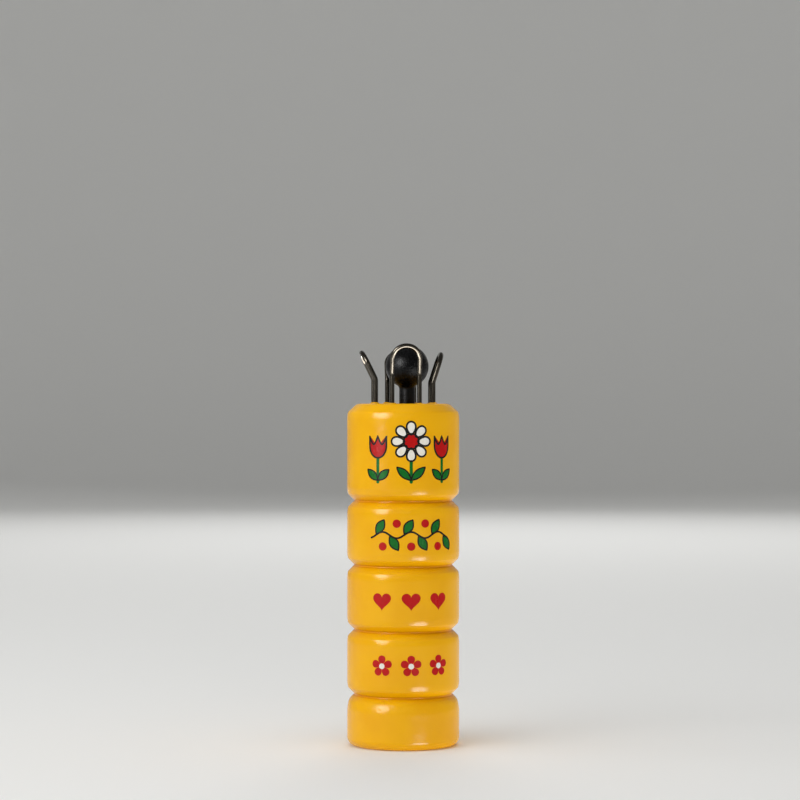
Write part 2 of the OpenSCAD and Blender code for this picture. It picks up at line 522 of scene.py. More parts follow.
@dataclass(frozen=True)
class PlasticFinish:
    """Satin black moulded plastic with a fine speckle, with lengths in millimetres."""

    colour: Colour = linear(4, 4, 5)
    grey_colour: Colour = linear(18, 19, 21)
    ior: float = 1.49
    specular: float = 0.17
    roughness: float = 0.2
    smudge_dulling: float = 0.15
    speckle_dulling: float = 0.16
    smudge_size: float = 4.0
    swell_size: float = 2.2
    speckle_size: float = 0.4
    speckle_share: float = 1.2
    speckle_range: Pair = (0.5, 0.74)
    swell_height: float = 0.07

    def material(self) -> bpy.types.Material:
        """Builds the material.

        Returns:
            The plastic's material.
        """
        material, graph, shader = new_material("black_plastic", IOR=self.ior,
                                               Specular_IOR_Level=self.specular)
        place = place_in_mm(graph)
        grain = graph.effect(grain_group(), place, Swell_Size=self.swell_size,
                             Speckle_Size=self.speckle_size, Speckle_Share=self.speckle_share)
        smudge = graph.effect(handling_group(), place, Size=self.smudge_size)["Smudge"]
        speckled = graph.ramp(grain["Speckle"], *self.speckle_range)
        dull = graph.math("MULTIPLY_ADD", smudge, self.smudge_dulling, self.roughness)
        link(
            graph, shader,
            Base_Color=graph.mix(speckled, self.colour, self.grey_colour),
            Roughness=graph.math("MULTIPLY_ADD", grain["Speckle"], self.speckle_dulling, dull),
        )
        roughen(graph, shader, grain["Height"], self.swell_height)
        return material


@dataclass(frozen=True)
class FloorFinish:
    """Pale matt paper of the floor and its cove."""

    colour: Colour = linear(236, 236, 234)
    specular: float = 0.1
    roughness: float = 0.9

    def material(self) -> bpy.types.Material:
        """Builds the material.

        Returns:
            The floor's material.
        """
        material, _, _ = new_material("pale_paper", Base_Color=self.colour, Roughness=self.roughness,
                                      Specular_IOR_Level=self.specular)
        return material


# Geometry trees

def new_shaper(name: str, inputs: dict[str, tuple[str, Any]]) -> tuple[Graph, Any]:
    """Starts a geometry tree that takes and gives one geometry.

    Args:
        name: the tree's name.
        inputs: each further input's type of socket and default value, by name.

    Returns:
        The tree's graph and the sockets of its inputs.
    """
    given = {"Geometry": ("NodeSocketGeometry", None), **inputs}
    return new_tree("GeometryNodeTree", name, given, {"Geometry": "NodeSocketGeometry"})


def end_tree(graph: Graph, geometry: bpy.types.NodeSocket, material: bpy.types.NodeSocket) -> None:
    """Ends a geometry tree with plain, smooth, dressed geometry.

    Args:
        graph: the tree's graph.
        geometry: what has been made.
        material: the input that holds the material.
    """
    plain = graph.add("GeometryNodeRealizeInstances", {"Geometry": geometry}).outputs[0]
    smooth = graph.add("GeometryNodeSetShadeSmooth", {"Geometry": plain}).outputs[0]
    dressed = graph.add("GeometryNodeSetMaterial", {"Geometry": smooth, "Material": material}).outputs[0]
    graph.add("NodeGroupOutput", {"Geometry": dressed})


def lathe_tree() -> bpy.types.GeometryNodeTree:
    """Builds the tree that turns a half section about the Z axis.

    The section is a run of edges with X as the radius and Y as the height. The form can stand up a little
    along the front and the back, as where the two halves of a mould meet.

    Returns:
        The tree.
    """
    graph, given = new_shaper("turned_form", {
        "Sides": ("NodeSocketInt", 128),
        "Path Radius": ("NodeSocketFloat", 4 * MM),
        "Seam Share": ("NodeSocketFloat", 0.0),
        "Seam Width": ("NodeSocketFloat", 0.35),
        "Axis X": ("NodeSocketFloat", 0.0),
        "Axis Y": ("NodeSocketFloat", 0.0),
        "Material": ("NodeSocketMaterial", None),
    })
    radius, height, _ = graph.split(graph.add("GeometryNodeInputPosition").outputs[0])
    from_path = graph.math("SUBTRACT", radius, given["Path Radius"])
    flat = graph.joined(from_path, graph.math("MULTIPLY", height, -1.0), 0.0)
    section = graph.add("GeometryNodeSetPosition",
                        {"Geometry": given["Geometry"], "Position": flat}).outputs[0]
    section = graph.add("GeometryNodeMeshToCurve", {"Mesh": section}).outputs[0]
    path = graph.add("GeometryNodeCurvePrimitiveCircle",
                     {"Resolution": given["Sides"], "Radius": given["Path Radius"]}).outputs[0]
    path = graph.add("GeometryNodeSetCurveNormal", {"Curve": path}, mode="Z_UP").outputs[0]
    form = graph.add("GeometryNodeCurveToMesh", {"Curve": path, "Profile Curve": section}).outputs[0]
    form = graph.add("GeometryNodeMergeByDistance",
                     {"Geometry": form, "Distance": MERGE_DISTANCE * MM}).outputs[0]
    form = graph.add("GeometryNodeFlipFaces", {"Mesh": form}).outputs[0]
    x, y, _ = graph.split(graph.add("GeometryNodeInputPosition").outputs[0])
    turn = graph.math("ABSOLUTE", graph.math("ARCTAN2", x, graph.math("ABSOLUTE", y)))
    past_seam = graph.math("DIVIDE", graph.math("MULTIPLY", turn, -1.0), given["Seam Width"])
    fade = graph.math("EXPONENT", past_seam)
    rise = graph.scaled(graph.joined(x, y, 0.0), graph.math("MULTIPLY", fade, given["Seam Share"]))
    shift = graph.vector("ADD", rise, graph.joined(given["Axis X"], given["Axis Y"], 0.0))
    form = graph.add("GeometryNodeSetPosition", {"Geometry": form, "Offset": shift}).outputs[0]
    end_tree(graph, form, given["Material"])
    return graph.tree


def wire_tree() -> bpy.types.GeometryNodeTree:
    """Builds the tree that bends a wire along a path of corners.

    Each corner is rounded by its own bend_radius. The wire keeps the attributes wire_side, the direction
    across it, and wire_run, the length along it in metres.

    Returns:
        The tree.
    """
    graph, given = new_shaper("bent_wire", {
        "Wire Radius": ("NodeSocketFloat", 0.5 * MM),
        "Sides": ("NodeSocketInt", 24),
        "Bend Steps": ("NodeSocketInt", 24),
        "Material": ("NodeSocketMaterial", None),
    })
    path = graph.add("GeometryNodeMeshToCurve", {"Mesh": given["Geometry"]}).outputs[0]
    radius = graph.add("GeometryNodeInputNamedAttribute",
                       {"Name": "bend_radius"}, data_type="FLOAT").outputs[0]
    path = graph.add("GeometryNodeFilletCurve", {
        "Curve": path,
        "Count": given["Bend Steps"],
        "Radius": radius,
        "Limit Radius": True,
    }, mode="POLY").outputs[0]
    run = graph.add("GeometryNodeSplineParameter").outputs["Length"]
    path = graph.add("GeometryNodeStoreNamedAttribute",
                     {"Geometry": path, "Name": "wire_run", "Value": run}, data_type="FLOAT").outputs[0]
    circle = graph.add("GeometryNodeCurvePrimitiveCircle",
                       {"Resolution": given["Sides"], "Radius": given["Wire Radius"]}).outputs[0]
    place = graph.add("GeometryNodeInputPosition").outputs[0]
    across = graph.vector("NORMALIZE", place)
    circle = graph.add("GeometryNodeStoreNamedAttribute",
                       {"Geometry": circle, "Name": "wire_side", "Value": across},
                       data_type="FLOAT_VECTOR").outputs[0]
    wire = graph.add("GeometryNodeCurveToMesh",
                     {"Curve": path, "Profile Curve": circle, "Fill Caps": True}).outputs[0]
    end_tree(graph, wire, given["Material"])
    return graph.tree


def print_tree() -> bpy.types.GeometryNodeTree:
    """Builds the tree that repeats a flat motif and wraps it round the body.

    A motif lies flat as seen from the front: X to the right, Z up and -Y out of the surface. It is repeated
    round its own middle, then along a row, where every other copy may swing up and down from the row.

    Returns:
        The tree.
    """
    graph, given = new_shaper("printed_row", {
        "Petals": ("NodeSocketInt", 1),
        "Copies": ("NodeSocketInt", 1),
        "Pitch": ("NodeSocketFloat", 0.0),
        "Swing": ("NodeSocketFloat", 0.0),
        "Spread": ("NodeSocketFloat", 0.0),
        "Turn": ("NodeSocketFloat", 0.0),
        "Height": ("NodeSocketFloat", 0.0),
        "Wall Radius": ("NodeSocketFloat", 13 * MM),
        "Material": ("NodeSocketMaterial", None),
    })
    index = graph.add("GeometryNodeInputIndex").outputs[0]
    petal_turn = graph.math("DIVIDE", graph.math("MULTIPLY", index, -math.tau), given["Petals"])
    middle = graph.add("GeometryNodeMeshLine",
                       {"Count": given["Petals"], "Offset": (0.0, 0.0, 0.0)}).outputs[0]
    ring = graph.add("GeometryNodeInstanceOnPoints", {
        "Points": middle,
        "Instance": given["Geometry"],
        "Rotation": graph.joined(0.0, petal_turn, 0.0),
    }).outputs[0]
    first = graph.math("MULTIPLY", graph.math("SUBTRACT", given["Copies"], 1.0), -0.5)
    start = graph.joined(graph.math("MULTIPLY", first, given["Pitch"]), 0.0, 0.0)
    row = graph.add("GeometryNodeMeshLine", {
        "Count": given["Copies"],
        "Start Location": start,
        "Offset": graph.joined(given["Pitch"], 0.0, 0.0),
    }).outputs[0]
    way = graph.math("MULTIPLY_ADD", graph.math("MODULO", index, 2.0), -2.0, 1.0)
    swing = graph.joined(0.0, 0.0, graph.math("MULTIPLY", way, given["Swing"]))
    row = graph.add("GeometryNodeSetPosition", {"Geometry": row, "Offset": swing}).outputs[0]
    tilt = graph.math("MULTIPLY", graph.math("MULTIPLY", way, given["Spread"]), -1.0)
    row = graph.add("GeometryNodeInstanceOnPoints", {
        "Points": row,
        "Instance": ring,
        "Rotation": graph.joined(0.0, tilt, 0.0),
    }).outputs[0]
    flat = graph.add("GeometryNodeRealizeInstances", {"Geometry": row}).outputs[0]
    x, y, z = graph.split(graph.add("GeometryNodeInputPosition").outputs[0])
    turn = graph.math("ADD", graph.math("DIVIDE", x, given["Wall Radius"]), given["Turn"])
    reach = graph.math("SUBTRACT", given["Wall Radius"], y)
    wrapped = graph.joined(
        graph.math("MULTIPLY", reach, graph.math("SINE", turn)),
        graph.math("MULTIPLY", graph.math("MULTIPLY", reach, graph.math("COSINE", turn)), -1.0),
        graph.math("ADD", z, given["Height"]),
    )
    film = graph.add("GeometryNodeSetPosition", {"Geometry": flat, "Position": wrapped}).outputs[0]
    end_tree(graph, film, given["Material"])
    return graph.tree


def lip_tree() -> bpy.types.GeometryNodeTree:
    """Builds the tree that puts a small uneven lip of lacquer round each staple leg.

    Returns:
        The tree.
    """
    least_size, most_size = (0.9, 0.9, 0.6), (1.3, 1.1, 1.4)
    lump_scale = 1.3 / MM
    graph, given = new_shaper("lacquer_lips", {
        "Lip Radius": ("NodeSocketFloat", 1.0 * MM),
        "Lip Height": ("NodeSocketFloat", 0.3 * MM),
        "Unevenness": ("NodeSocketFloat", 0.3 * MM),
        "Seed": ("NodeSocketInt", 4),
        "Material": ("NodeSocketMaterial", None),
    })
    dome = graph.add("GeometryNodeMeshIcoSphere", {"Radius": 1.0, "Subdivisions": 4}).outputs[0]
    size = graph.joined(given["Lip Radius"], given["Lip Radius"], given["Lip Height"])
    vary = graph.add("FunctionNodeRandomValue", {
        "Min": least_size,
        "Max": most_size,
        "Seed": given["Seed"],
    }, data_type="FLOAT_VECTOR").outputs[0]
    turn = graph.add("FunctionNodeRandomValue", {
        "Max": (0.0, 0.0, math.tau),
        "Seed": graph.math("ADD", given["Seed"], 1.0),
    }, data_type="FLOAT_VECTOR").outputs[0]
    lips = graph.add("GeometryNodeInstanceOnPoints", {
        "Points": given["Geometry"],
        "Instance": dome,
        "Rotation": turn,
        "Scale": graph.vector("MULTIPLY", size, vary),
    }).outputs[0]
    lips = graph.add("GeometryNodeRealizeInstances", {"Geometry": lips}).outputs[0]
    place = graph.add("GeometryNodeInputPosition").outputs[0]
    lumps = graph.noise(place, lump_scale, detail=1.0)
    lift = graph.math("MULTIPLY", graph.math("SUBTRACT", lumps, 0.5), given["Unevenness"])
    normal = graph.add("GeometryNodeInputNormal").outputs[0]
    lips = graph.add("GeometryNodeSetPosition",
                     {"Geometry": lips, "Offset": graph.scaled(normal, lift)}).outputs[0]
    end_tree(graph, lips, given["Material"])
    return graph.tree


def grown(
    name: str, base: bpy.types.Mesh, tree: bpy.types.GeometryNodeTree, **values: Any
) -> bpy.types.Object:
    """Runs a geometry tree on a mesh and keeps the result as a plain mesh.

    Args:
        name: the piece's name.
        base: the mesh that the tree starts from.
        tree: the tree.
        values: the tree's inputs, by name with underscores for spaces.

    Returns:
        The piece, with no modifier left.
    """
    piece = bpy.data.objects.new(name, base)
    bpy.context.scene.collection.objects.link(piece)
    modifier = piece.modifiers.new(tree.name, "NODES")
    modifier.node_group = tree
    identifiers = {
        item.name.replace(" ", "_"): item.identifier
        for item in tree.interface.items_tree
        if item.in_out == "INPUT"
    }
    for key, value in values.items():
        modifier[identifiers[key]] = value
    evaluated = piece.evaluated_get(bpy.context.evaluated_depsgraph_get())
    mesh = bpy.data.meshes.new_from_object(evaluated)
    piece.modifiers.clear()
    piece.data = mesh
    mesh.name = name
    bpy.data.meshes.remove(base)
    return piece


def edge_mesh(name: str, points: Sequence[Sequence[float]], closed: bool) -> bpy.types.Mesh:
    """Makes a mesh of edges in a row.

    Args:
        name: the mesh's name.
        points: the points in millimetres.
        closed: whether the last point joins the first.

    Returns:
        The mesh, in metres.
    """
    last = len(points) if closed else len(points) - 1
    edges = [(i, (i + 1) % len(points)) for i in range(last)]
    mesh = bpy.data.meshes.new(name)
    mesh.from_pydata([Vector(point) * MM for point in points], edges, [])
    return mesh


def settle(piece: bpy.types.Object, body: Body, slot: Slot | None = None, *nodes: str) -> bpy.types.Object:
    """Puts a finished piece on its body.

    Args:
        piece: the piece.
        body: the body that it rides on.
        slot: the record's material slot, if it takes its finish from one; not used.
        nodes: the CAD nodes that it stands for.

    Returns:
        The piece.
    """
    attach(piece, body.value)
    if nodes:
        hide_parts(*nodes)
    LOG.info("%s: %d faces on %s", piece.name, len(piece.data.polygons), body.value)
    return piece


def arc(centre: Point, radius: float, start: float, end: float, steps: int) -> list[Point]:
    """Returns points along an arc.

    Args:
        centre: the arc's centre.
        radius: its radius.
        start: the angle that it starts at, in degrees.
        end: the angle that it ends at, in degrees.
        steps: how many pieces it has.

    Returns:
        The points, both ends included.
    """
    angles = [math.radians(start + (end - start) * i / steps) for i in range(steps + 1)]
    ways = [(math.cos(angle), math.sin(angle)) for angle in angles]
    return [(centre[0] + radius * across, centre[1] + radius * up) for across, up in ways]


def softened(corners: Sequence[tuple[Point, float]], steps: int) -> list[Point]:
    """Returns a closed outline with its corners rounded.

    Args:
        corners: each corner and its radius, going left round.
        steps: how many pieces each round has.

    Returns:
        The points.
    """
    outline: list[Point] = []
    for i, (corner, radius) in enumerate(corners):
        at = Vector(corner)
        back = (Vector(corners[i - 1][0]) - at).normalized()
        on = (Vector(corners[(i + 1) % len(corners)][0]) - at).normalized()
        half = back.angle(on) / 2
        centre = at + (back + on).normalized() * radius / math.sin(half)
        start = at + back * radius / math.tan(half) - centre
        first = math.degrees(math.atan2(start.y, start.x))
        turn = math.copysign(180 - 2 * math.degrees(half), on.cross(back))
        outline += arc((centre.x, centre.y), radius, first, first + turn, steps)
    return outline


# Sub-assemblies

@dataclass(frozen=True)
class Shoulder:
    """How a wall slopes in towards a groove, and the radius where the groove's side starts."""

    length: float
    fall: float
    radius: float


@dataclass
class TurnedBody:
    """The turned and lacquered body: a head, three beads and a foot on a bore."""

    radius: float
    height: float
    head_h: float = 22.4
    bead_h: float = 14.9
    bead_count: int = 3
    groove_depth: float = 1.7
    groove_angle: float = 90.0
    groove_r: float = 0.2
    shoulder: Shoulder = Shoulder(length=1.15, fall=0.19, radius=0.9)
    foot_shoulder: Shoulder = Shoulder(length=1.95, fall=0.45, radius=2.5)
    crown_r: float = 7.0
    bevel: Pair = (2.35, 1.95)
    bevel_r: float = 2.0
    foot_edge_r: float = 2.0
    bore_r: float = 4.75
    mouth_r: float = 0.6
    round_steps: int = 14
    bore_steps: int = 24
    sides: int = 192

    def grooves(self) -> list[float]:
        """Returns the height of each groove, from the foot up."""
        top = self.height - self.head_h
        return [top - i * self.bead_h for i in range(self.bead_count, -1, -1)]

    def bead_middle(self, number: int) -> float:
        """Returns the height of a bead's middle, counted from 1 below the head."""
        return self.height - self.head_h - (number - 0.5) * self.bead_h

    def groove(self, z: float, lower: Shoulder) -> list[tuple[Point, float]]:
        """Returns the corners of a groove and its shoulders, going up, each with its radius.

        Args:
            z: the groove's height.
            lower: the shoulder below it.

        Returns:
            The corners as radius and height.
        """
        corners = []
        slant = math.tan(math.radians(self.groove_angle / 2))
        for way, shoulder in ((-1, lower), (1, self.shoulder)):
            edge = z + way * (self.groove_depth - shoulder.fall) * slant
            corners.append(((self.radius - shoulder.fall, edge), shoulder.radius))
            corners.append(((self.radius, edge + way * shoulder.length), self.crown_r))
        below, above = corners[:2], corners[2:]
        return [*reversed(below), ((self.radius - self.groove_depth, z), self.groove_r), *above]

    def half_section(self) -> list[Point]:
        """Returns the closed half section, from the lower mouth up the outside and down the bore."""
        corners = [((self.bore_r, 0.0), self.mouth_r), ((self.radius, 0.0), self.foot_edge_r)]
        for number, z in enumerate(self.grooves()):
            corners += self.groove(z, self.shoulder if number else self.foot_shoulder)
        bevel_w, bevel_h = self.bevel
        bevel_z = self.height - bevel_h
        corners += [
            ((self.radius, bevel_z - self.shoulder.length), self.crown_r),
            ((self.radius - self.shoulder.fall, bevel_z), self.shoulder.radius),
            ((self.radius - bevel_w, self.height), self.bevel_r),
            ((self.bore_r, self.height), self.mouth_r),
        ]
        outline = softened(corners, self.round_steps)
        wall_h = self.height - 2 * self.mouth_r
        for i in range(1, self.bore_steps):
            outline.append((self.bore_r, self.mouth_r + wall_h * (1 - i / self.bore_steps)))
        return outline

    def build(self, lathe: bpy.types.GeometryNodeTree, lacquer: bpy.types.Material) -> bpy.types.Object:
        """Turns the body and dresses it.

        Args:
            lathe: the tree that turns a section.
            lacquer: the body's material.

        Returns:
            The body.
        """
        points = [(r, z, 0.0) for r, z in self.half_section()]
        section = edge_mesh("body_section", points, closed=True)
        piece = grown("turned_body", section, lathe, Sides=self.sides, Material=lacquer)
        return settle(piece, Body.NANCY, Slot.LACQUER, "body")


@dataclass(frozen=True)
class StapleShape:
    """One staple's own bend: how high its legs stand and how far its loop leans out."""

    side: Side
    node: str
    bend_h: float
    lean: float


@dataclass
class WireStaples:
    """The four wire staples driven into the head round the bore."""

    head_top: float
    ring_r: float = 6.65
    wire_r: float = 0.55
    width: float = 6.3
    loop_l: float = 7.35
    leg_depth: float = 10.0
    bend_r: float = 2.0
    crown_flat: float = 0.12
    lip_r: float = 0.82
    lip_h: float = 0.28
    shapes: tuple[StapleShape, ...] = (
        StapleShape(Side.FRONT, "staple_front", 6.8, 20),
        StapleShape(Side.RIGHT, "staple_right", 4.9, 18),
        StapleShape(Side.BACK, "staple_back", 5.8, 26),
        StapleShape(Side.LEFT, "staple_left", 5.6, 26),
    )

    def on_head(self, side: Side, point: Sequence[float]) -> Vector:
        """Puts a staple's own point on the head.

        Args:
            side: the side that the staple stands on.
            point: across the staple, outwards and up, from between its feet.

        Returns:
            The point in the part's frame.
        """
        across, out, up = point
        turn = Matrix.Rotation(math.radians(side.value), 3, "Z")
        return turn @ Vector((across, -self.ring_r - out, self.head_top + up))

    def corners(self, shape: StapleShape) -> list[tuple[Vector, float]]:
        """Returns the wire's corners from one foot to the other, each with its bend's radius.

        Args:
            shape: the staple's own bend.

        Returns:
            The corners.
        """
        half = self.width / 2
        lean = math.radians(shape.lean)
        crown = self.loop_l - self.wire_r
        crown_r = half - self.crown_flat / 2
        top = (crown * math.sin(lean), shape.bend_h + crown * math.cos(lean))
        leg = [((0.0, -self.leg_depth), 0.0), ((0.0, shape.bend_h), self.bend_r), (top, crown_r)]
        run = [(-half, *place, radius) for place, radius in leg]
        run += [(half, *place, radius) for place, radius in reversed(leg)]
        return [(self.on_head(shape.side, corner[:3]), corner[3]) for corner in run]

    def build(self, bender: bpy.types.GeometryNodeTree, steel: bpy.types.Material) -> list[bpy.types.Object]:
        """Bends the staples and dresses them.

        Args:
            bender: the tree that bends a wire.
            steel: the wire's material.

        Returns:
            The staples.
        """
        pieces = []
        for shape in self.shapes:
            corners = self.corners(shape)
            path = edge_mesh(f"{shape.node}_path", [point for point, _ in corners], closed=False)
            bends = path.attributes.new("bend_radius", "FLOAT", "POINT")
            bends.data.foreach_set("value", [radius * MM for _, radius in corners])
            piece = grown(f"wire_{shape.node}", path, bender, Wire_Radius=self.wire_r * MM, Material=steel)
            pieces.append(settle(piece, Body.NANCY, Slot.WIRE, shape.node))
        return pieces

    def lips(self, lipper: bpy.types.GeometryNodeTree, lacquer: bpy.types.Material) -> bpy.types.Object:
        """Raises the lacquer a little round each leg, as driving the staples does.

        Args:
            lipper: the tree that puts lips on points.
            lacquer: the body's material.

        Returns:
            All the lips as one piece.
        """
        feet = [
            self.on_head(side, (end * self.width / 2, 0.0, 0.0)) * MM
            for side in Side
            for end in (-1, 1)
        ]
        points = bpy.data.meshes.new("lip_points")
        points.from_pydata(feet, [], [])
        piece = grown("lacquer_lips", points, lipper,
                      Lip_Radius=self.lip_r * MM, Lip_Height=self.lip_h * MM, Material=lacquer)
        return settle(piece, Body.NANCY, Slot.LACQUER)


@dataclass
class MouldedNeedle:
    """The loose plastic needle: a ball-shaped knob on a tapered shaft."""

    axis: Point
    top: float
    knob_r: float
    shaft_r: float = 1.825
    neck_r: float = 1.0
    taper_l: float = 16.0
    tip_r: float = 0.9
    gate_r: float = 0.8
    gate_depth: float = 0.18
    gate_floor_r: float = 0.72
    pip_foot_r: float = 0.28
    pip_r: float = 0.24
    pip_h: float = 0.1
    seam_share: float = 0.028
    seam_width: float = 0.2
    edge_angle: float = 12.0
    sides: int = 96
    tip_steps: int = 8
    shaft_steps: int = 24
    neck_steps: int = 10
    knob_steps: int = 48

    def half_section(self) -> list[Point]:
        """Returns the half section from the tip up to the gate mark on top of the knob."""
        middle = self.top - self.knob_r
        across = self.shaft_r + self.neck_r
        reach = self.knob_r + self.neck_r
        neck = (across, middle - math.sqrt(reach ** 2 - across ** 2))
        turn = math.degrees(math.acos(across / reach))
        gate_turn = math.degrees(math.acos(self.gate_r / self.knob_r))
        gate_z = middle + self.knob_r * math.sin(math.radians(gate_turn)) - self.gate_depth
        pip_z = gate_z + self.pip_h
        outline = arc((0.0, self.tip_r), self.tip_r, -90, 0, self.tip_steps)
        for i in range(self.shaft_steps):
            outline.append((self.shaft_r, self.taper_l + (neck[1] - self.taper_l) * i / self.shaft_steps))
        outline += arc(neck, self.neck_r, 180, 180 - turn, self.neck_steps)
        outline += arc((0.0, middle), self.knob_r, -turn, gate_turn, self.knob_steps)[1:]
        outline += [(self.gate_floor_r, gate_z), (self.pip_foot_r, gate_z)]
        outline += [(self.pip_r, pip_z), (0.0, pip_z)]
        return outline

    def build(self, lathe: bpy.types.GeometryNodeTree, plastic: bpy.types.Material) -> bpy.types.Object:
        """Forms the needle and dresses it.

        Args:
            lathe: the tree that turns a section.
            plastic: the needle's material.

        Returns:
            The needle.
        """
        points = [(r, z, 0.0) for r, z in self.half_section()]
        section = edge_mesh("needle_section", points, closed=False)
        piece = grown("moulded_needle", section, lathe, Sides=self.sides,
                      Seam_Share=self.seam_share, Seam_Width=self.seam_width,
                      Axis_X=self.axis[0] * MM, Axis_Y=self.axis[1] * MM, Material=plastic)
        piece.data.set_sharp_from_angle(angle=math.radians(self.edge_angle))
        return settle(piece, Body.NEEDLE, Slot.PLASTIC, "needle")


# Motifs of the printed decoration

def oval(width: float, height: float, middle: Point = (0.0, 0.0), steps: int = 28) -> list[Point]:
    """Returns an oval's outline, going left round."""
    turns = [math.tau * i / steps for i in range(steps)]
    ways = [(math.cos(turn), math.sin(turn)) for turn in turns]
    return [(middle[0] + width / 2 * across, middle[1] + height / 2 * up) for across, up in ways]


def mirrored_outline(length: float, half_width: Callable[[float], float], steps: int = 14) -> list[Point]:
    """Returns the outline of a form that is alike on both sides of the X axis.

    Args:
        length: how long it is, from the origin along X.
        half_width: its half width at each share of the length.
        steps: how many steps each side has.

    Returns:
        The outline, going left round from the origin.
    """
    shares = [0.5 - 0.5 * math.cos(math.pi * i / steps) for i in range(steps + 1)]
    lower = [(length * share, -half_width(share)) for share in shares]
    upper = [(length * share, half_width(share)) for share in reversed(shares[1:-1])]
    return lower + upper


def petal(length: float, width: float, skew: float = 1.4) -> list[Point]:
    """Returns a petal along X, widest towards its round tip."""
    def half_width(share: float) -> float:
        """Half width of a skewed oval."""
        return width * math.sqrt(max(0.0, share ** skew * (1 - share ** skew)))

    return mirrored_outline(length, half_width)


def leaf(length: float, width: float, fullness: float = 0.9) -> list[Point]:
    """Returns a leaf along X, pointed at both ends."""
    return mirrored_outline(length, lambda share: width / 2 * math.sin(math.pi * share) ** fullness)


def heart(width: float, steps: int = 40) -> list[Point]:
    """Returns a heart's outline, going left round from the dip at its top."""
    curve_w = 32
    outline = []
    for i in range(steps):
        turn = -math.tau * i / steps
        across = 16 * math.sin(turn) ** 3
        up = 13 * math.cos(turn) - 5 * math.cos(2 * turn) - 2 * math.cos(3 * turn) - math.cos(4 * turn)
        outline.append((across * width / curve_w, up * width / curve_w))
    return outline


def tulip(width: float, height: float, steps: int = 24) -> list[Point]:
    """Returns a tulip's cup with three tips, going left round from its left edge."""
    cup_share = 0.55
    dip = 0.85
    cup = height * cup_share
    tips = height - cup
    outline = [(-width / 2 * math.cos(math.pi * i / steps), -cup * math.sin(math.pi * i / steps))
               for i in range(steps)]
    for i in range(steps + 1):
        across = width / 2 - width * i / steps
        outline.append((across, tips * (1.0 - dip * abs(math.sin(math.tau * across / width)))))
    return outline


def placed(outline: Sequence[Point], turn: float, middle: Point) -> list[Point]:
    """Turns an outline by degrees, left round, then moves it."""
    cos, sin = math.cos(math.radians(turn)), math.sin(math.radians(turn))
    return [(middle[0] + x * cos - z * sin, middle[1] + x * sin + z * cos) for x, z in outline]


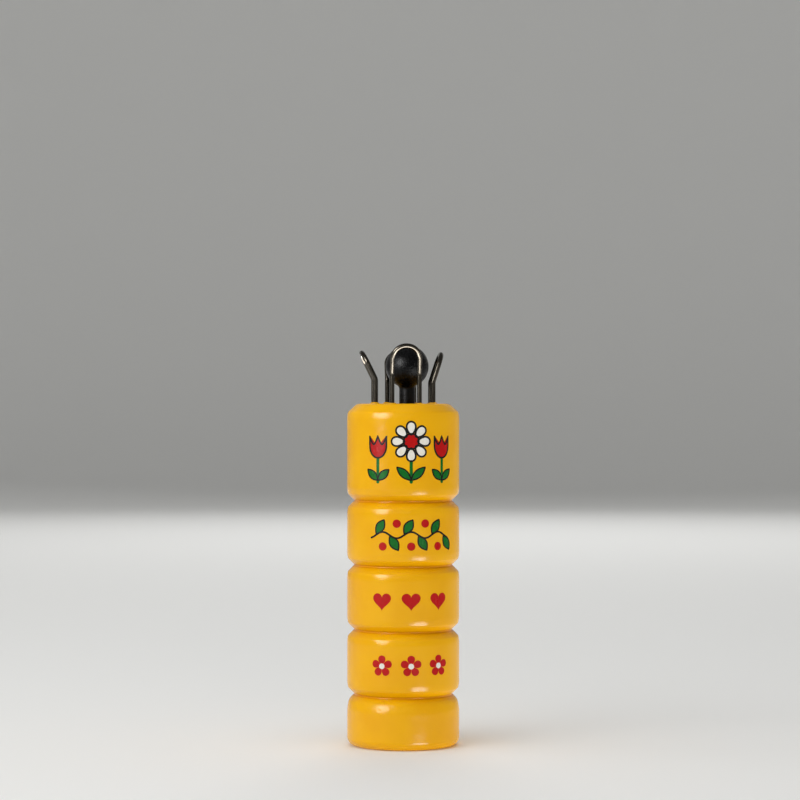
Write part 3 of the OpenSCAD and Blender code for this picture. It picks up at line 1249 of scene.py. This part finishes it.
class InkFilm:
    """Flat patches of one ink, seen from the front: X to the right, Z up, -Y out of the surface."""

    SINK = 0.02
    END_TURN = 85

    def __init__(self, ink: Ink, over: Ink | None = None) -> None:
        """Starts an empty film of one ink, on the lacquer or over another ink."""
        self.lift = ink.value + (over.value if over else 0.0)
        self.points: list[Vector] = []
        self.faces: list[list[int]] = []

    def _ring(self, outline: Sequence[Point], depth: float) -> list[int]:
        """Adds points at one depth and returns their numbers."""
        start = len(self.points)
        self.points += [Vector((x, depth, z)) * MM for x, z in outline]
        return list(range(start, len(self.points)))

    def fill(self, outline: Sequence[Point], middle: Point = (0.0, 0.0), rings: int = 5) -> "InkFilm":
        """Adds a filled patch.

        Args:
            outline: its edge, going left round, all of it in sight of the middle.
            middle: the point that its rings close in on.
            rings: how many rings it has.

        Returns:
            The film.
        """
        count = len(outline)
        hub = self._ring([middle], -self.lift)[0]
        inner: list[int] = []
        for ring in range(1, rings + 1):
            share = ring / rings
            outer = self._ring([
                (middle[0] + (x - middle[0]) * share, middle[1] + (z - middle[1]) * share)
                for x, z in outline
            ], -self.lift)
            for i in range(count):
                j = (i + 1) % count
                if inner:
                    self.faces.append([inner[i], outer[i], outer[j], inner[j]])
                else:
                    self.faces.append([hub, outer[i], outer[j]])
            inner = outer
        under = self._ring(outline, self.SINK)
        base = self._ring([middle], self.SINK)[0]
        for i in range(count):
            j = (i + 1) % count
            self.faces.append([inner[i], under[i], under[j], inner[j]])
            self.faces.append([base, under[j], under[i]])
        return self

    def stroke(self, path: Sequence[Point], width: float, closed: bool = False) -> "InkFilm":
        """Adds a line of even width, with round ends where it is open.

        Args:
            path: the line's middle.
            width: the line's width.
            closed: whether it runs on into its start.

        Returns:
            The film.
        """
        line = [Vector(point) for point in path]
        widths = [width / 2] * len(line)
        if not closed:
            line, widths = self._round_ends(line, width / 2)
        count = len(line)
        left, middle, right = [], [], []
        for i, point in enumerate(line):
            before = line[i - 1] if closed or i else point
            after = line[(i + 1) % count] if closed or i < count - 1 else point
            way = (after - before).normalized()
            out = Vector((-way.y, way.x)) * widths[i]
            left.append(tuple(point + out))
            middle.append(tuple(point))
            right.append(tuple(point - out))
        tops = [self._ring(row, -self.lift) for row in (right, middle, left)]
        under_right, under_left = self._ring(right, self.SINK), self._ring(left, self.SINK)
        rows = [(tops[0], tops[1]), (tops[1], tops[2]), (tops[2], under_left),
                (under_left, under_right), (under_right, tops[0])]
        for i in range(count if closed else count - 1):
            j = (i + 1) % count
            self.faces += [[one[i], one[j], other[j], other[i]] for one, other in rows]
        if not closed:
            ends = [tops[0], tops[1], tops[2], under_left, under_right]
            self.faces.append([row[0] for row in ends])
            self.faces.append([row[-1] for row in reversed(ends)])
        return self

    @classmethod
    def _round_ends(
        cls, line: list[Vector], half: float, steps: int = 5
    ) -> tuple[list[Vector], list[float]]:
        """Lengthens a line by half its width at both ends and rounds them.

        Args:
            line: the line's points.
            half: half its width.
            steps: how many points each end gets.

        Returns:
            The longer line and the half width at each point.
        """
        turns = [math.radians(cls.END_TURN * i / steps) for i in range(steps, 0, -1)]
        reaches = [half * math.sin(turn) for turn in turns]
        thin = [half * math.cos(turn) for turn in turns]
        back = (line[0] - line[1]).normalized()
        on = (line[-1] - line[-2]).normalized()
        start = [line[0] + back * reach for reach in reaches]
        end = [line[-1] + on * reach for reach in reversed(reaches)]
        return start + line + end, thin + [half] * len(line) + thin[::-1]

    def mesh(self, name: str) -> bpy.types.Mesh:
        """Returns the film as a mesh."""
        mesh = bpy.data.meshes.new(name)
        mesh.from_pydata(self.points, [], self.faces)
        return mesh


@dataclass
class PrintedDecor:
    """The printed decoration: flowers on the head, a garland, a row of hearts and a row of blossoms."""

    body: TurnedBody
    printer: bpy.types.GeometryNodeTree
    inks: dict[Ink, bpy.types.Material]
    middle_turn: float = 3.0
    outline_w: float = 0.42
    leaf_outline_w: float = 0.315
    edge_angle: float = 40.0
    ground_h: float = 4.6
    daisy_h: float = 9.2
    daisy_petals: int = 8
    daisy_root: float = 1.5
    daisy_petal: Pair = (3.0, 2.1)
    daisy_petal_middle: float = 3.3
    daisy_disc_d: float = 3.5
    tulip_h: float = 8.2
    tulip_size: Pair = (4.2, 5.0)
    tulip_pitch: float = 15.6
    daisy_stem: Pair = (4.6, 4.4)
    tulip_stem: Pair = (5.6, 3.6)
    stem_w: float = 0.75
    stem_steps: int = 8
    stem_leaf_w: float = 1.7
    stem_leaf_h: float = 0.4
    stem_leaf_turns: Pair = (42.0, 138.0)
    garland_l: float = 19.0
    garland_wave: float = 6.6
    garland_swing: float = 0.7
    garland_steps: int = 76
    garland_leaves: int = 6
    garland_leaf: Pair = (3.7, 2.0)
    garland_leaf_gap: float = 0.1
    garland_leaf_middle: float = 1.9
    garland_leaf_swing: float = 0.2
    garland_leaf_turn: float = 58.0
    berries: int = 5
    berry_d: float = 1.9
    berry_swing: float = -2.6
    heart_w: float = 4.4
    heart_middle: float = -0.1
    heart_rings: int = 6
    row_count: int = 3
    row_pitch: float = 6.8
    blossom_petals: int = 5
    blossom_root: float = 0.35
    blossom_petal: Pair = (2.1, 1.75)
    blossom_petal_middle: float = 1.6
    blossom_disc_d: float = 1.3
    pieces: list[bpy.types.Object] = field(default_factory=list)

    def lay(self, name: str, ink: Ink, film: InkFilm, height: float, **repeats: Any) -> None:
        """Prints one film on the body.

        Args:
            name: the piece's name.
            ink: its ink.
            film: its flat patches.
            height: the height of the film's origin on the body.
            repeats: how the film is repeated, as inputs of the printing tree.
        """
        piece = grown(name, film.mesh(name), self.printer, Turn=math.radians(self.middle_turn),
                      Height=height * MM, Wall_Radius=self.body.radius * MM,
                      Material=self.inks[ink], **repeats)
        piece.data.set_sharp_from_angle(angle=math.radians(self.edge_angle))
        self.pieces.append(settle(piece, Body.NANCY))

    def daisy(self, height: float) -> None:
        """Prints the daisy in the middle of the head."""
        edge = placed(petal(*self.daisy_petal), 0, (self.daisy_root, 0.0))
        petals = InkFilm(Ink.WHITE).fill(edge, (self.daisy_petal_middle, 0.0))
        self.lay("daisy_petals", Ink.WHITE, petals, height, Petals=self.daisy_petals)
        ring = InkFilm(Ink.BLACK).stroke(edge, self.outline_w, closed=True)
        self.lay("daisy_outlines", Ink.BLACK, ring, height, Petals=self.daisy_petals)
        disc = oval(self.daisy_disc_d, self.daisy_disc_d)
        self.lay("daisy_disc", Ink.RED, InkFilm(Ink.RED).fill(disc), height)
        rim = InkFilm(Ink.BLACK).stroke(disc, self.outline_w, closed=True)
        self.lay("daisy_disc_outline", Ink.BLACK, rim, height)

    def tulips(self, height: float) -> None:
        """Prints a tulip on each side of the daisy."""
        cup = tulip(*self.tulip_size)
        repeats = {"Copies": 2, "Pitch": self.tulip_pitch * MM}
        self.lay("tulips", Ink.RED, InkFilm(Ink.RED).fill(cup), height, **repeats)
        edge = InkFilm(Ink.BLACK).stroke(cup, self.outline_w, closed=True)
        self.lay("tulip_outlines", Ink.BLACK, edge, height, **repeats)

    def stems(self, ground: float) -> None:
        """Prints the stems and leaves of the head's three flowers."""
        green = InkFilm(Ink.GREEN)
        black = InkFilm(Ink.BLACK)
        for way in (-1, 0, 1):
            across = way * self.tulip_pitch / 2
            stem_h, leaf_l = self.tulip_stem if way else self.daisy_stem
            stem = [(across, stem_h * i / self.stem_steps) for i in range(self.stem_steps + 1)]
            green.stroke(stem, self.stem_w)
            root = (across, self.stem_leaf_h)
            for turn in self.stem_leaf_turns:
                edge = placed(leaf(leaf_l, self.stem_leaf_w), turn, root)
                middle = placed([(leaf_l / 2, 0.0)], turn, root)[0]
                green.fill(edge, middle)
                black.stroke(edge, self.leaf_outline_w, closed=True)
        self.lay("flower_stems", Ink.GREEN, green, ground)
        self.lay("leaf_outlines", Ink.BLACK, black, ground)

    def garland(self, height: float) -> None:
        """Prints the garland of leaves and berries round the first bead's front."""
        steps = self.garland_steps
        run = [-self.garland_l / 2 + self.garland_l * i / steps for i in range(steps + 1)]
        line = [(x, self.garland_swing * math.cos(math.tau * x / self.garland_wave)) for x in run]
        self.lay("garland_stem", Ink.BLACK, InkFilm(Ink.BLACK).stroke(line, self.outline_w), height)
        pitch = self.garland_wave / 2 * MM
        edge = placed(leaf(*self.garland_leaf), 0, (self.garland_leaf_gap, 0.0))
        leaves = InkFilm(Ink.GREEN).fill(edge, (self.garland_leaf_middle, 0.0))
        rims = InkFilm(Ink.BLACK).stroke(edge, self.leaf_outline_w, closed=True)
        repeats = {
            "Copies": self.garland_leaves,
            "Pitch": pitch,
            "Spread": math.radians(self.garland_leaf_turn),
            "Swing": self.garland_leaf_swing * MM,
        }
        self.lay("garland_leaves", Ink.GREEN, leaves, height, **repeats)
        self.lay("garland_leaf_outlines", Ink.BLACK, rims, height, **repeats)
        berry = InkFilm(Ink.RED).fill(oval(self.berry_d, self.berry_d))
        hung = {"Copies": self.berries, "Pitch": pitch, "Swing": self.berry_swing * MM}
        self.lay("garland_berries", Ink.RED, berry, height, **hung)

    def hearts(self, height: float) -> None:
        """Prints the row of hearts."""
        film = InkFilm(Ink.RED).fill(heart(self.heart_w), (0.0, self.heart_middle), self.heart_rings)
        self.lay("hearts", Ink.RED, film, height, Copies=self.row_count, Pitch=self.row_pitch * MM)

    def blossoms(self, height: float) -> None:
        """Prints the row of small blossoms."""
        repeats = {"Copies": self.row_count, "Pitch": self.row_pitch * MM}
        edge = placed(petal(*self.blossom_petal), 90, (0.0, self.blossom_root))
        petals = InkFilm(Ink.RED).fill(edge, (0.0, self.blossom_petal_middle))
        self.lay("blossoms", Ink.RED, petals, height, Petals=self.blossom_petals, **repeats)
        disc = InkFilm(Ink.WHITE, over=Ink.RED).fill(oval(self.blossom_disc_d, self.blossom_disc_d))
        self.lay("blossom_discs", Ink.WHITE, disc, height, **repeats)

    def build(self) -> list[bpy.types.Object]:
        """Prints all of the decoration and returns its pieces."""
        ground = self.body.height - self.body.head_h + self.ground_h
        self.daisy(ground + self.daisy_h)
        self.tulips(ground + self.tulip_h)
        self.stems(ground)
        self.garland(self.body.bead_middle(1))
        self.hearts(self.body.bead_middle(2))
        self.blossoms(self.body.bead_middle(3))
        return self.pieces


@dataclass(frozen=True)
class Lamp:
    """A soft oval lamp that points at the object, with lengths in millimetres and its power in watts.

    It stands turn degrees round the object from the front to the right, and rise degrees above the horizon.
    Matt surfaces see it where it lights, and glossy ones where it shines.
    """

    name: str
    turn: float
    rise: float
    distance: float
    size: Pair
    power: float
    lights: bool = True
    shines: bool = True


@dataclass
class Studio:
    """The plain floor, the soft light and the camera at the photograph's angle."""

    turn: float = -5.0
    distance: float = 600.0
    eye_height: float = 79.8
    axis_right: float = 0.74
    pixel: float = 0.2317
    picture: int = 800
    sensor: float = 36.0
    clip_start: float = 10.0
    floor_r: float = 1300.0
    cove_r: float = 700.0
    cove_steps: int = 24
    floor_sides: int = 96
    sky_strength: float = 0.22
    aim_height: float = 45.0
    lamps: tuple[Lamp, ...] = (
        Lamp("key", -51, 28, 800, (640, 520), 2.35),
        Lamp("glint", -51, 18, 801, (440, 380), 4.2, lights=False),
        Lamp("left", -92, 26, 1000, (900, 600), 1.7, shines=False),
        Lamp("right", 85, -38, 1000, (700, 500), 5.2, shines=False),
        Lamp("front", -8, 16, 1000, (900, 200), 1.5, shines=False),
        Lamp("low_glint", 30, -25, 800, (430, 220), 4.6, lights=False),
        Lamp("back", 172, 30, 1200, (900, 700), 4.0, shines=False),
        Lamp("top", 0, 80, 900, (600, 600), 2.4, shines=False),
    )
    card_height: float = 1.0
    card_size: Pair = (240, 240)
    card_power: float = 2.2

    def camera(self) -> None:
        """Makes the scene's camera, level with the top of the head."""
        turn = math.radians(self.turn)
        back = Vector((math.sin(turn), -math.cos(turn), 0.0))
        right = Vector((math.cos(turn), math.sin(turn), 0.0))
        eye = back * self.distance - right * self.axis_right + Vector((0, 0, self.eye_height))
        lens = bpy.data.cameras.new("camera")
        lens.sensor_width = self.sensor
        lens.lens = self.distance / self.pixel / self.picture * self.sensor
        lens.clip_start = self.clip_start * MM
        camera = bpy.data.objects.new("camera", lens)
        camera.location = eye * MM
        camera.rotation_euler = (-back).to_track_quat("-Z", "Y").to_euler()
        bpy.context.scene.collection.objects.link(camera)
        bpy.context.scene.camera = camera

    def hang(self, lamp: Lamp, pieces: Sequence[bpy.types.Object]) -> None:
        """Adds a lamp.

        Args:
            lamp: the lamp.
            pieces: all the pieces of the object, which alone shade a lamp that shines up past the floor.
        """
        turn, rise = math.radians(lamp.turn), math.radians(lamp.rise)
        way = Vector((math.sin(turn) * math.cos(rise), -math.cos(turn) * math.cos(rise), math.sin(rise)))
        panel = self._panel(lamp.name, lamp.size, lamp.power)
        panel.location = (way * lamp.distance + Vector((0, 0, self.aim_height))) * MM
        panel.rotation_euler = (-way).to_track_quat("-Z", "Y").to_euler()
        panel.visible_diffuse = lamp.lights
        panel.visible_glossy = lamp.shines
        if lamp.rise < 0:
            panel.light_linking.blocker_collection = self._group(f"{lamp.name}_blockers", pieces)

    def wire_card(self, wires: Sequence[bpy.types.Object]) -> None:
        """Lays a bright card on the floor round the object, which only the wires mirror.

        Args:
            wires: the pieces that are made of wire.
        """
        panel = self._panel("wire_card", self.card_size, self.card_power)
        panel.location.z = self.card_height * MM
        panel.rotation_euler.x = math.pi
        panel.visible_diffuse = False
        panel.light_linking.receiver_collection = self._group("wire_card_lit", wires)

    @staticmethod
    def _group(name: str, pieces: Sequence[bpy.types.Object]) -> bpy.types.Collection:
        """Returns a new collection of some pieces."""
        group = bpy.data.collections.new(name)
        for piece in pieces:
            group.objects.link(piece)
        return group

    @staticmethod
    def _panel(name: str, size: Pair, power: float) -> bpy.types.Object:
        """Adds an oval panel of light that the camera doesn't see.

        Args:
            name: the panel's name.
            size: its width and height in millimetres.
            power: its power in watts.

        Returns:
            The panel, at the origin.
        """
        light = bpy.data.lights.new(name, "AREA")
        light.shape = "ELLIPSE"
        light.size, light.size_y = size[0] * MM, size[1] * MM
        light.energy = power
        panel = bpy.data.objects.new(name, light)
        panel.visible_camera = False
        bpy.context.scene.collection.objects.link(panel)
        return panel

    def floor(self, paper: bpy.types.Material) -> None:
        """Makes the round floor that curves up into a wall.

        Args:
            paper: the floor's material.
        """
        sides = self.floor_sides
        cove = arc((self.floor_r, self.cove_r), self.cove_r, -90, 0, self.cove_steps)
        rings = [*cove, (self.floor_r + self.cove_r, 2 * self.cove_r)]
        points = [Vector((0, 0, 0))]
        for r, z in rings:
            for i in range(sides):
                turn = math.tau * i / sides
                points.append(Vector((r * math.cos(turn), r * math.sin(turn), z)) * MM)
        faces: list[list[int]] = [[0, 1 + i, 1 + (i + 1) % sides] for i in range(sides)]
        for ring in range(len(rings) - 1):
            low, high = 1 + ring * sides, 1 + (ring + 1) * sides
            for i in range(sides):
                j = (i + 1) % sides
                faces.append([low + i, high + i, high + j, low + j])
        mesh = bpy.data.meshes.new("floor")
        mesh.from_pydata(points, [], faces)
        mesh.shade_smooth()
        mesh.materials.append(paper)
        floor = bpy.data.objects.new("floor", mesh)
        bpy.context.scene.collection.objects.link(floor)

    def sky(self) -> None:
        """Makes the even, pale light from all round."""
        world = bpy.data.worlds.new("soft_sky")
        world.use_nodes = True
        sky = world.node_tree.nodes["Background"]
        sky.inputs["Color"].default_value = (1.0, 1.0, 1.0, 1.0)
        sky.inputs["Strength"].default_value = self.sky_strength
        bpy.context.scene.world = world

    def build(self, pieces: Sequence[bpy.types.Object], wires: Sequence[bpy.types.Object]) -> None:
        """Sets up the floor, the light and the camera.

        Args:
            pieces: all the pieces of the object.
            wires: those that are made of wire.
        """
        self.camera()
        self.floor(FloorFinish().material())
        for lamp in self.lamps:
            self.hang(lamp, pieces)
        self.wire_card(wires)
        self.sky()
        bpy.context.scene.view_settings.view_transform = "Standard"


def main() -> None:
    """Builds the knitting nancy and its studio."""
    logging.basicConfig(level=logging.INFO, format="%(name)s: %(message)s")
    low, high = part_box("body")
    body = TurnedBody(radius=(high.x - low.x) / 2 / MM, height=high.z / MM)
    lacquer = LacquerFinish(body.radius, body.bore_r, body.height, foot_h=body.grooves()[0]).material()
    lathe = lathe_tree()
    pieces = [body.build(lathe, lacquer)]

    staples = WireStaples(head_top=body.height)
    wires = staples.build(wire_tree(), WireFinish().material())
    pieces += [*wires, staples.lips(lip_tree(), lacquer)]

    low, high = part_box("needle")
    axis = ((low.x + high.x) / 2 / MM, (low.y + high.y) / 2 / MM)
    needle = MouldedNeedle(axis, top=high.z / MM, knob_r=(high.x - low.x) / 2 / MM)
    pieces.append(needle.build(lathe, PlasticFinish().material()))

    inks = {ink: finish.material() for ink, finish in INK_FINISHES.items()}
    decor = PrintedDecor(body, print_tree(), inks)
    pieces += decor.build()
    Studio().build(pieces, wires)


if __name__ == "__main__":
    main()
